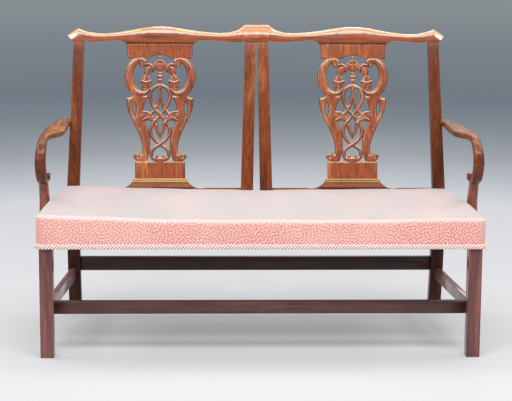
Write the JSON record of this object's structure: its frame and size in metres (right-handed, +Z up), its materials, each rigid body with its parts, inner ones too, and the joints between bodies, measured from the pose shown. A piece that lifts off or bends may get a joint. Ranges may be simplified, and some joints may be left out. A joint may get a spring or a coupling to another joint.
{
  "type": "chairback settee",
  "caption": "Chair-back settee of polished mahogany with pierced splats, crook arms, square legs joined by stretchers and a stuffed-over seat in pink fabric with rope trim.",
  "frame": {"origin": "on the floor, at the middle of the settee's plan", "axes": "+X to the right as seen from the front, +Y to the back, +Z up"},
  "size_m": [1.3728, 0.6318, 0.952],
  "materials": {
    "mahogany": "polished, warm red-brown",
    "mahogany_dark": "polished, dark red-brown",
    "beech_frame": "bare, planed",
    "screw_steel": "dull",
    "webbing": "woven jute",
    "hessian": "coarse weave",
    "stuffing": "curled hair",
    "calico": "plain weave",
    "seat_fabric": "woven vermicelli pattern",
    "rope_trim": "twisted cord"
  },
  "bodies": {
    "root": {"arm_left": "mahogany", "arm_right": "mahogany", "arm_support_left": "mahogany", "arm_support_right": "mahogany", "arm_support_screws": "screw_steel", "base_hessian": "hessian", "calico_undercover": "calico", "corner_brace_screws": "screw_steel", "crest_rail": "mahogany", "front_corner_brace_left": "beech_frame", "front_corner_brace_right": "beech_frame", "front_leg_left": "mahogany_dark", "front_leg_right": "mahogany_dark", "front_seat_rail": "beech_frame", "front_stretcher": "mahogany_dark", "inner_stile_left": "mahogany", "inner_stile_right": "mahogany", "rear_corner_brace_left": "beech_frame", "rear_corner_brace_right": "beech_frame", "rear_leg_left": "mahogany", "rear_leg_right": "mahogany", "rear_seat_rail": "mahogany_dark", "rear_stretcher": "mahogany_dark", "rope_trim": "rope_trim", "seat_cover": "seat_fabric", "seat_cross_brace": "beech_frame", "seat_stuffing": "stuffing", "side_seat_rail_left": "beech_frame", "side_seat_rail_right": "beech_frame", "side_stretcher_left": "mahogany_dark", "side_stretcher_right": "mahogany_dark", "splat_left": "mahogany", "splat_right": "mahogany", "splat_shoe_left": "mahogany", "splat_shoe_right": "mahogany", "webbing_crosswise": "webbing", "webbing_lengthwise": "webbing"}
  },
  "joints": []
}
